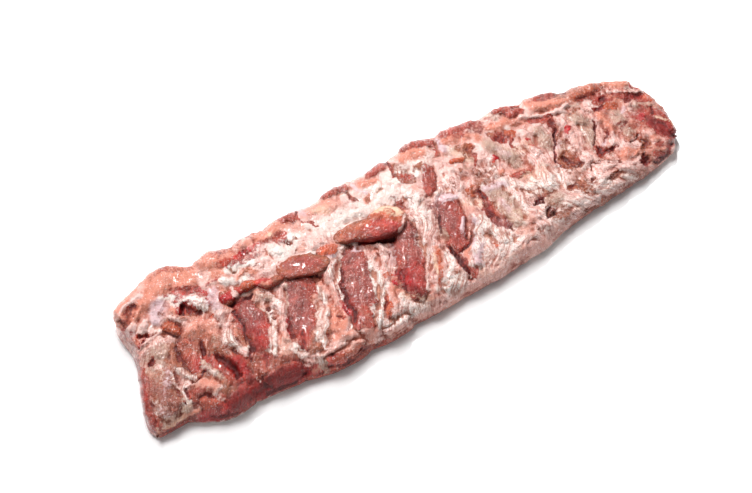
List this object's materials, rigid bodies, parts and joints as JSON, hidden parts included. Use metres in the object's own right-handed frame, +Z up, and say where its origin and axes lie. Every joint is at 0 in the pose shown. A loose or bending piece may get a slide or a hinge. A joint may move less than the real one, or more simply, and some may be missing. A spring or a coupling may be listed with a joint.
{
  "type": "raw pork sparerib rack",
  "caption": "Whole raw rack of pork spareribs lying flat with its bone side up, with slanting ribs, muscle between them, a fatty humped back edge and loose trimmed flaps.",
  "frame": {"origin": "centre of the outline seen from above, on the level surface that the rack lies on", "axes": "+X along the rack, from its square-cut near end to its rounded far end; +Y across it, from the front edge with the rib ends to the humped back edge; +Z up, out of the bone side"},
  "size_m": [0.4478, 0.1322, 0.0331],
  "materials": {
    "raw_pork": "wet, glossy raw meat: dark red muscle, pink and cream fat, pale silvery membrane"
  },
  "bodies": {
    "root": {"rib_rack": "raw_pork"}
  },
  "joints": []
}
